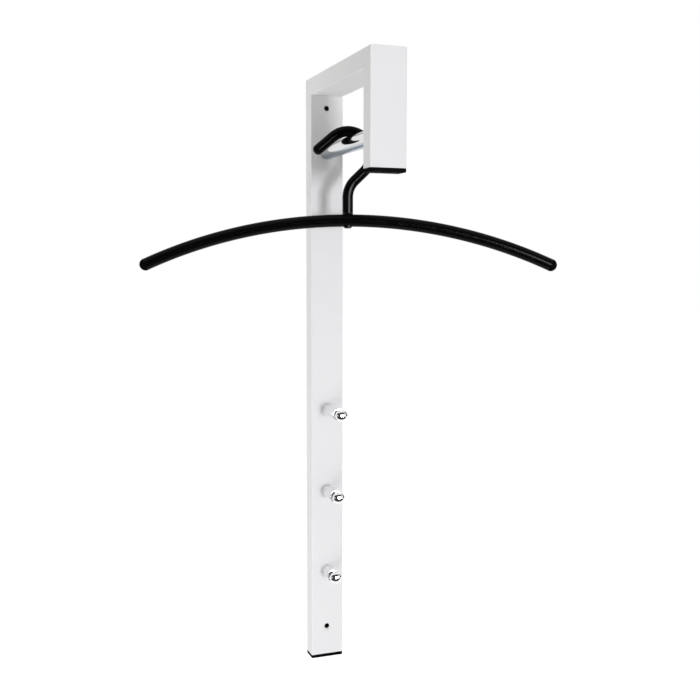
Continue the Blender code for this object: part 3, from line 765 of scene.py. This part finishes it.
def join_skins(skins, holes, along):
    """One hollow tube from its outside and inside, closed at its holes and ends."""
    tube, inside = skins
    for face in inside.faces:
        face.material_index = 1
    carrier = bpy.data.meshes.new("inside_skin")
    inside.to_mesh(carrier)
    inside.free()
    tube.from_mesh(carrier)
    bpy.data.meshes.remove(carrier)

    def edge_middle(edge):
        return (edge.verts[0].co + edge.verts[1].co) / 2

    def rim_near(centre):
        rims = [edge for edge in tube.edges if edge.is_boundary]
        return [edge for edge in rims if (edge_middle(edge) - centre).length < RIM_REACH]

    def on_lip(vertex, centre):
        return (vertex.co - centre).length < LIP_REACH and abs(vertex.co.y - centre.y) < SAME_PLACE

    for centre in holes:
        bmesh.ops.bridge_loops(tube, edges=rim_near(centre))
    middle = sum((vertex.co[along] for vertex in tube.verts), 0.0) / len(tube.verts)
    open_edges = [edge for edge in tube.edges if edge.is_boundary]
    for side in (-1, 1):
        end = [edge for edge in open_edges if side * (edge.verts[0].co[along] - middle) > 0]
        bmesh.ops.bridge_loops(tube, edges=end)
    tube.normal_update()
    lips = [
        edge
        for edge in tube.edges
        for centre in holes
        if all(on_lip(vertex, centre) for vertex in edge.verts)
        and edge.calc_face_angle(0.0) > LIP_ANGLE
    ]
    round_edges(tube, lips, HOLE_EDGE, HOLE_EDGE_STEPS)
    return tube


post = join_skins(post_skins, post_holes, ALONG_Z)
arm = join_skins(arm_skins, [], ALONG_Y)
drop = join_skins(drop_skins, [drop_hole], ALONG_Z)
tubes = [
    make_piece(post, "post_coated", "rack", "white_coat", white_coat, "post_tube"),
    make_piece(arm, "arm_coated", "rack", "white_coat", white_coat, "arm_tube"),
    make_piece(drop, "drop_coated", "rack", "white_coat", white_coat, "drop_tube"),
]
# The inside skins get the second material: bare steel with painted shade.
for tube in tubes:
    tube.data.materials.append(bare_inside_painted_dark)

# %% [markdown]
# ## The end caps
#
# A moulded cap closes each open tube end: a flange as wide as the tube, and a hollow plug that grips
# inside. It is box modelling: the flange is a cube, insets and extrusions raise the plug and sink its
# pocket, and bevels round the flange's corners and its lower rim.

# %% Mould the two caps
CAP_FLANGE = 0.004
CAP_RIM = 0.0010
CAP_RIM_STEPS = 4
CAP_SHOULDER = 0.0023
CAP_PLUG_WALL = 0.0018
NEAR_SIDE = 0.0001
UPRIGHT_RISE = 0.001


def push(shape, face, step):
    """Extrude one face, move it on by a step and return it; no wall is left behind inside."""
    grown = bmesh.ops.extrude_face_region(shape, geom=[face])["geom"]
    corners = [item for item in grown if isinstance(item, bmesh.types.BMVert)]
    bmesh.ops.translate(shape, vec=step, verts=corners)
    if any(len(edge.link_faces) > 2 for edge in face.edges):
        bmesh.ops.delete(shape, geom=[face], context="FACES_ONLY")
    return next(item for item in grown if isinstance(item, bmesh.types.BMFace))


def moulded_cap(node):
    """A cap with its flange below and its hollow plug above."""
    low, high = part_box(node)
    middle = box_middle(node)
    plug_height = high.z - low.z - CAP_FLANGE
    cap = bmesh.new()
    flange = Vector((high.x - low.x, high.y - low.y, CAP_FLANGE))
    flange_place = Vector((middle.x, middle.y, low.z + CAP_FLANGE / 2))
    bmesh.ops.create_cube(cap, size=1.0)
    bmesh.ops.scale(cap, vec=flange, verts=cap.verts)
    bmesh.ops.translate(cap, vec=flange_place, verts=cap.verts)
    top = max(cap.faces, key=lambda face: face.calc_center_median().z)
    bmesh.ops.inset_individual(cap, faces=[top], thickness=CAP_SHOULDER, use_even_offset=True)
    top = push(cap, top, (0, 0, plug_height))
    bmesh.ops.inset_individual(cap, faces=[top], thickness=CAP_PLUG_WALL, use_even_offset=True)
    push(cap, top, (0, 0, -plug_height))

    def outside(edge):
        return all(abs(vertex.co.x - middle.x) > flange.x / 2 - NEAR_SIDE for vertex in edge.verts)

    def upright(edge):
        return abs(edge.verts[0].co.z - edge.verts[1].co.z) > UPRIGHT_RISE

    corners = [edge for edge in cap.edges if outside(edge) and upright(edge)]
    round_edges(cap, corners, OUTER_ROUND, EDGE_STEPS)
    base = min(cap.faces, key=lambda face: face.calc_center_median().z)
    round_edges(cap, base.edges[:], CAP_RIM, CAP_RIM_STEPS)
    return cap


for node, name in (("post_end_cap", "post_cap_moulded"), ("drop_end_cap", "drop_cap_moulded")):
    make_piece(moulded_cap(node), name, "rack", "black_plastic", black_plastic, node)

# %% [markdown]
# ## The rail
#
# The rail is a piece of round tube with slightly eased ends. Like everything turned or drawn, it is
# one outline spun about an axis: a closed outline gives a hollow tube in a single turn. The spin is
# made upright and the result is tipped forwards, because outlines are easier to read that way.

# %% Turn the rail
FACING_FRONT = Matrix.Rotation(pi / 2, 4, "X")


def turned(outline, steps, closed=False):
    """Spin an outline of (radius, height) pairs about the upright axis."""
    shape = bmesh.new()
    corners = [shape.verts.new((radius, 0.0, height)) for radius, height in outline]
    ring = corners + corners[:1] if closed else corners
    edges = [shape.edges.new(pair) for pair in zip(ring, ring[1:])]
    bmesh.ops.spin(
        shape,
        geom=corners + edges,
        cent=(0, 0, 0),
        axis=(0, 0, 1),
        dvec=(0, 0, 0),
        angle=2 * pi,
        steps=steps,
        use_merge=True,
        use_duplicate=False,
    )
    bmesh.ops.remove_doubles(shape, verts=shape.verts, dist=MERGE_WITHIN)
    bmesh.ops.recalc_face_normals(shape, faces=shape.faces)
    return shape


def ease(shape, radius, height, offset, steps):
    """Round the ring of edges that lies at a radius and a height of a turned shape."""

    def on_ring(vertex):
        level = abs(vertex.co.z - height) < SAME_PLACE
        return level and abs(vertex.co.to_2d().length - radius) < SAME_PLACE

    ring = [edge for edge in shape.edges if all(on_ring(vertex) for vertex in edge.verts)]
    round_edges(shape, ring, offset, steps)


RAIL_BORE = 0.0075
RAIL_SIDES = 96
RAIL_EDGE = 0.0004

rail_low, rail_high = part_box("rod_tube")
rail_length = rail_high.y - rail_low.y
rail_outline = [
    (RAIL_BORE, 0.0),
    (RAIL_ROUND, 0.0),
    (RAIL_ROUND, rail_length),
    (RAIL_BORE, rail_length),
]
rail = turned(rail_outline, RAIL_SIDES, closed=True)
ease(rail, RAIL_ROUND, 0.0, RAIL_EDGE, steps=3)
ease(rail, RAIL_ROUND, rail_length, RAIL_EDGE, steps=3)
rail_foot = Matrix.Translation((0.0, rail_high.y, rail_place.z))
bmesh.ops.transform(rail, matrix=rail_foot @ FACING_FRONT, verts=rail.verts)
make_piece(rail, "rail_polished", "rod", "chrome", rail_chrome, "rod_tube")

# %% [markdown]
# ## The pegs
#
# Three pegs of unlike length are turned from solid bar: a straight shank, a wide groove that keeps a
# loop from slipping off, and a domed head. The back is bored out over the insert's flange and carries
# a threaded stud. All three share one outline and differ only in length. The dome is a short arc in
# the outline, and the ring where it meets the side is rounded with a bevel. The groove looks dark from
# the front because its square corner throws the dark side of the studio straight back.

# %% Turn the three pegs
PEG_ROUND = 0.007
PEG_HEAD = 0.0075
PEG_GROOVE = 0.007
PEG_NECK_ROUND = 0.005
DOME_HEIGHT = 0.003
DOME_STEPS = 10
DOME_EDGE = 0.0008
GROOVE_EDGE = 0.0003
FOOT_EDGE = 0.0005
PEG_SIDES = 80
PEG_BACK = 0.00005
STUD_SEAT = 0.0014
STUD_ROUND = 0.0027
RECESS_ROUND = 0.0056


def turned_peg(node):
    """A peg that stands forward from the post's front face."""
    low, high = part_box(node)
    reach = post_front - low.y
    stud_end = post_front - high.y
    bend_round = (PEG_ROUND**2 + DOME_HEIGHT**2) / (2 * DOME_HEIGHT)
    half_turn = asin(PEG_ROUND / bend_round)
    turns = [half_turn * step / DOME_STEPS for step in range(DOME_STEPS)]
    dome = [(bend_round * sin(turn), reach - bend_round * (1 - cos(turn))) for turn in turns]
    brim = reach - DOME_HEIGHT
    outline = [
        *dome,
        (PEG_ROUND, brim),
        (PEG_ROUND, reach - PEG_HEAD),
        (PEG_NECK_ROUND, reach - PEG_HEAD),
        (PEG_NECK_ROUND, reach - PEG_HEAD - PEG_GROOVE),
        (PEG_ROUND, reach - PEG_HEAD - PEG_GROOVE),
        (PEG_ROUND, PEG_BACK),
        (RECESS_ROUND, PEG_BACK),
        (RECESS_ROUND, STUD_SEAT),
        (STUD_ROUND, STUD_SEAT),
        (STUD_ROUND, stud_end),
        (0.0, stud_end),
    ]
    peg = turned(outline, PEG_SIDES)
    ease(peg, PEG_ROUND, brim, DOME_EDGE, steps=4)
    ease(peg, PEG_ROUND, reach - PEG_HEAD, GROOVE_EDGE, steps=2)
    ease(peg, PEG_ROUND, reach - PEG_HEAD - PEG_GROOVE, GROOVE_EDGE, steps=2)
    ease(peg, PEG_ROUND, PEG_BACK, FOOT_EDGE, steps=3)
    foot = Matrix.Translation((0.0, post_front, box_middle(node).z))
    bmesh.ops.transform(peg, matrix=foot @ FACING_FRONT, verts=peg.verts)
    return peg


for peg_name in peg_names:
    make_piece(turned_peg(peg_name), peg_name + "_turned", "rack", "chrome", peg_chrome, peg_name)

# %% [markdown]
# ## The hook
#
# The hook is one 12 mm bar, bent twice: a neck that leans out and a loop that comes back over the
# rail and ends in a short straight nose. A curve with a round bevel could draw it, but pushing a disc
# along the path is closer to bending real bar: a straight run is an extrusion, a bend is a spin about
# the bend's centre. The nose is a bevel as wide as the bar. The lower end is turned down to a pin,
# which runs through the shoulder tube and is riveted below.

# %% Bend the hook
BAR_ROUND = 0.006
BAR_SIDES = 40
NOSE_SHARE = 0.97
NOSE_STEPS = 12
LOOP_STEPS = 64
LOOP_BELOW_RAIL = 0.0107
NECK_BEND = 0.026
NECK_STEPS = 18
NECK_LEAN = 46.0
NECK_RUN = 0.01407
TIP_TURN = 40.0
TIP_RUN = 0.0215
STEM_FOOT = 0.0084
STEM_TOP = 0.026
PIN_ROUND = 0.003
RIVET_TOP = -0.0081
RIVET_FOOT = -0.0089
RIVET_ROUND = 0.004

end_left = box_middle("shoulder_plug_left")
end_right = box_middle("shoulder_plug_right")
hanger_turn = Vector((1.0, 0.0)).angle_signed((end_right - end_left).to_2d())
HANGER_PLACE = Matrix.Translation(swivel_place) @ Matrix.Rotation(-hanger_turn, 4, "Z")


def bend(shape, face, centre, degrees, steps):
    """Sweep an end face round an axis that points into the wall and return the new end face."""
    swept = bmesh.ops.spin(
        shape,
        geom=[face, *face.edges, *face.verts],
        cent=centre,
        axis=(0, 1, 0),
        dvec=(0, 0, 0),
        angle=radians(degrees),
        steps=steps,
        use_merge=False,
        use_duplicate=False,
    )["geom_last"]
    return next(item for item in swept if isinstance(item, bmesh.types.BMFace))


hook = bmesh.new()
bmesh.ops.create_circle(hook, cap_ends=True, segments=BAR_SIDES, radius=BAR_ROUND)
bmesh.ops.translate(hook, vec=(0, 0, STEM_FOOT), verts=hook.verts)
hook.faces.ensure_lookup_table()
bar_end = push(hook, hook.faces[0], (0, 0, STEM_TOP - STEM_FOOT))
bar_end = bend(hook, bar_end, (NECK_BEND, 0, STEM_TOP), NECK_LEAN, NECK_STEPS)
lean = radians(NECK_LEAN)
bar_end = push(hook, bar_end, (NECK_RUN * sin(lean), 0, NECK_RUN * cos(lean)))
loop_height = rail_place.z - swivel_place.z - LOOP_BELOW_RAIL
bar_end = bend(hook, bar_end, (0, 0, loop_height), -(NECK_LEAN + 90 + TIP_TURN), LOOP_STEPS)
droop = radians(90 + TIP_TURN)
tip_run = TIP_RUN + BAR_ROUND
bar_end = push(hook, bar_end, (-sin(droop) * tip_run, 0, cos(droop) * tip_run))
round_edges(hook, bar_end.edges[:], NOSE_SHARE * BAR_ROUND, NOSE_STEPS)
print("bar swept with", len(hook.faces), "faces, turned", round(hanger_turn * 180 / pi, 2), "degrees")

# %% [markdown]
# The pin grows from the bar's lower end: an inset makes its round, a long push its length, and the
# rivet head is a push that is widened, pushed again and narrowed.

# %% Turn down the pin and rivet it
RIVET_RIM = 0.4
RIVET_CROWN = 0.6
RIVET_TAPER = 0.75


def widen(shape, face, factor):
    """Scale an end face about its own middle, in its own plane."""
    to_middle = Matrix.Translation(-face.calc_center_median())
    bmesh.ops.scale(shape, vec=(factor, factor, 1.0), space=to_middle, verts=face.verts[:])


foot = min(hook.faces, key=lambda face: face.calc_center_median().z)
bmesh.ops.inset_individual(hook, faces=[foot], thickness=BAR_ROUND - PIN_ROUND, use_even_offset=True)
foot = push(hook, foot, (0, 0, RIVET_TOP - STEM_FOOT))
foot = push(hook, foot, (0, 0, 0))
widen(hook, foot, RIVET_ROUND / PIN_ROUND)
foot = push(hook, foot, (0, 0, RIVET_RIM * (RIVET_FOOT - RIVET_TOP)))
foot = push(hook, foot, (0, 0, RIVET_CROWN * (RIVET_FOOT - RIVET_TOP)))
widen(hook, foot, RIVET_TAPER)
bmesh.ops.transform(hook, matrix=HANGER_PLACE, verts=hook.verts)
make_piece(hook, "hook_bent", "hook", "black_coat", hook_coat, "hanger_hook")

# %% [markdown]
# ## The shoulder
#
# The shoulder is a 14 mm tube bent to one long arc. Its cross-section is a flat ring, bridged from two
# circles, and spinning that ring about the bend's centre sweeps a hollow tube. The swivel sleeve goes
# through the crown of the arc: there the wall curves both ways, so this one hole is drilled with a
# Boolean and the result is kept as the mesh.

# %% Bend and drill the shoulder
SHOULDER_ROUND = 0.007
SHOULDER_BORE = 0.0055
SHOULDER_BEND = 0.556
SHOULDER_SPAN = 0.459
SHOULDER_SIDES = 40
SHOULDER_STEPS = 96
SLEEVE_ROOM = 0.0044
DRILL_REACH = 0.02

half_arc = asin(SHOULDER_SPAN / 2 / SHOULDER_BEND)
arc_centre = (0.0, 0.0, -SHOULDER_BEND)
to_left_end = Matrix.Rotation(-half_arc, 3, "Y")

shoulder = bmesh.new()
bmesh.ops.create_circle(shoulder, segments=SHOULDER_SIDES, radius=SHOULDER_ROUND)
bmesh.ops.create_circle(shoulder, segments=SHOULDER_SIDES, radius=SHOULDER_BORE)
bmesh.ops.bridge_loops(shoulder, edges=shoulder.edges[:])
bmesh.ops.rotate(shoulder, cent=(0, 0, 0), matrix=TIP_SIDEWAYS, verts=shoulder.verts)
bmesh.ops.rotate(shoulder, cent=arc_centre, matrix=to_left_end, verts=shoulder.verts)
bmesh.ops.spin(
    shoulder,
    geom=shoulder.faces[:] + shoulder.edges[:] + shoulder.verts[:],
    cent=arc_centre,
    axis=(0, 1, 0),
    dvec=(0, 0, 0),
    angle=2 * half_arc,
    steps=SHOULDER_STEPS,
    use_merge=False,
    use_duplicate=False,
)
bmesh.ops.recalc_face_normals(shoulder, faces=shoulder.faces)


def drilled(shape, tool):
    """Cut one bmesh out of another and return what is left as a new bmesh."""
    stock_mesh = bpy.data.meshes.new("stock")
    shape.to_mesh(stock_mesh)
    shape.free()
    tool_mesh = bpy.data.meshes.new("drill")
    tool.to_mesh(tool_mesh)
    tool.free()
    stock = bpy.data.objects.new("stock", stock_mesh)
    drill = bpy.data.objects.new("drill", tool_mesh)
    scene.collection.objects.link(stock)
    scene.collection.objects.link(drill)
    cut = stock.modifiers.new("drilling", "BOOLEAN")
    cut.operation = "DIFFERENCE"
    cut.object = drill
    cut.solver = "EXACT"
    left = bmesh.new()
    left.from_object(stock, bpy.context.evaluated_depsgraph_get())
    bpy.data.objects.remove(stock)
    bpy.data.objects.remove(drill)
    return left


drill_outline = [
    (0.0, -DRILL_REACH),
    (SLEEVE_ROOM, -DRILL_REACH),
    (SLEEVE_ROOM, DRILL_REACH),
    (0.0, DRILL_REACH),
]
shoulder = drilled(shoulder, turned(drill_outline, SHOULDER_SIDES))
bmesh.ops.transform(shoulder, matrix=HANGER_PLACE, verts=shoulder.verts)
make_piece(shoulder, "shoulder_bent", "shoulder", "black_coat", black_coat, "hanger_shoulder")

# %% [markdown]
# ## The shoulder's ends
#
# A domed plug closes each end of the tube. It is turned: a stem that grips the bore and a head as wide
# as the tube, whose edge is bevelled by almost its whole radius, which makes a half ball.

# %% Turn the two plugs
PLUG_GAP = 0.0001
PLUG_STEM_ROUND = 0.0053
PLUG_STEM = 0.010


def domed_plug(side):
    """A plug for the right (1) or left (-1) end of the shoulder."""
    top = PLUG_GAP + SHOULDER_ROUND
    outline = [
        (0.0, top),
        (SHOULDER_ROUND, top),
        (SHOULDER_ROUND, PLUG_GAP),
        (PLUG_STEM_ROUND, PLUG_GAP),
        (PLUG_STEM_ROUND, -PLUG_STEM),
        (0.0, -PLUG_STEM),
    ]
    plug = turned(outline, SHOULDER_SIDES)
    ease(plug, SHOULDER_ROUND, top, NOSE_SHARE * SHOULDER_ROUND, NOSE_STEPS)
    lie_down = Matrix.Rotation(side * pi / 2, 4, "Y")
    lift = Matrix.Translation((0, 0, SHOULDER_BEND))
    along_arc = lift.inverted() @ Matrix.Rotation(side * half_arc, 4, "Y") @ lift
    bmesh.ops.transform(plug, matrix=HANGER_PLACE @ along_arc @ lie_down, verts=plug.verts)
    return plug


plug_sides = (
    (-1, "shoulder_end_left", "shoulder_plug_left"),
    (1, "shoulder_end_right", "shoulder_plug_right"),
)
for side, name, node in plug_sides:
    make_piece(domed_plug(side), name, "shoulder", "black_plastic", black_plastic, node)

# %% [markdown]
# ## The swivel
#
# A plastic bush lets the shoulder turn freely on the pin: its sleeve lines the drilled tube and its
# collar carries the stem. Under the tube a small washer spreads the rivet's pull. Collar and washer
# sit on a round tube, so after spinning them the rings that touch it are lifted to the tube's own
# curve, a saddle.

# %% Turn the bush and the washer
SADDLE = 0.0073
COLLAR_TOP = 0.0081
COLLAR_ROUND = 0.006
SLEEVE_ROUND = 0.0041
SLEEVE_FOOT = -0.0068
BUSH_BORE = 0.0033
BUSH_SIDES = 48
WASHER_ROUND = 0.0050
WASHER_FOOT = -0.0078


def saddled(shape, side):
    """Move the rings at height 0 onto the top (1) or the underside (-1) of the saddle."""
    for vertex in shape.verts:
        if abs(vertex.co.z) < SAME_PLACE:
            vertex.co.z = side * (SADDLE**2 - vertex.co.y**2) ** 0.5
    return shape


bush_outline = [
    (BUSH_BORE, SLEEVE_FOOT),
    (SLEEVE_ROUND, SLEEVE_FOOT),
    (SLEEVE_ROUND, 0.0),
    (COLLAR_ROUND, 0.0),
    (COLLAR_ROUND, COLLAR_TOP),
    (BUSH_BORE, COLLAR_TOP),
]
bush = saddled(turned(bush_outline, BUSH_SIDES, closed=True), 1)
bmesh.ops.transform(bush, matrix=HANGER_PLACE, verts=bush.verts)
make_piece(bush, "swivel_bush_moulded", "shoulder", "black_plastic", black_plastic, "swivel_bush")

washer_outline = [
    (BUSH_BORE, 0.0),
    (BUSH_BORE, WASHER_FOOT),
    (WASHER_ROUND, WASHER_FOOT),
    (WASHER_ROUND, 0.0),
]
washer = saddled(turned(washer_outline, BUSH_SIDES, closed=True), -1)
bmesh.ops.transform(washer, matrix=HANGER_PLACE, verts=washer.verts)
make_piece(washer, "swivel_washer_pressed", "shoulder", "black_coat", black_coat, "swivel_washer")

# %% [markdown]
# ## The fittings inside
#
# The corner keys, the threaded inserts and the spigots sit inside the tubes and keep their solids.
# They still get their real finishes, because the part may be taken apart by whoever uses it.

# %% Finish the hidden fittings
hidden = {
    "rear_corner_key": black_plastic,
    "front_corner_key": black_plastic,
    "rod_rear_insert": zinc_plate,
    "rod_front_insert": zinc_plate,
    "rod_rear_spigot": zinc_plate,
    "rod_front_spigot": zinc_plate,
    "peg_lower_insert": zinc_plate,
    "peg_middle_insert": zinc_plate,
    "peg_upper_insert": zinc_plate,
}
for node, finish in hidden.items():
    solid = frame["nodes"][node]
    for place in solid.material_slots:
        place.material = finish
print("finished", len(hidden), "hidden fittings")
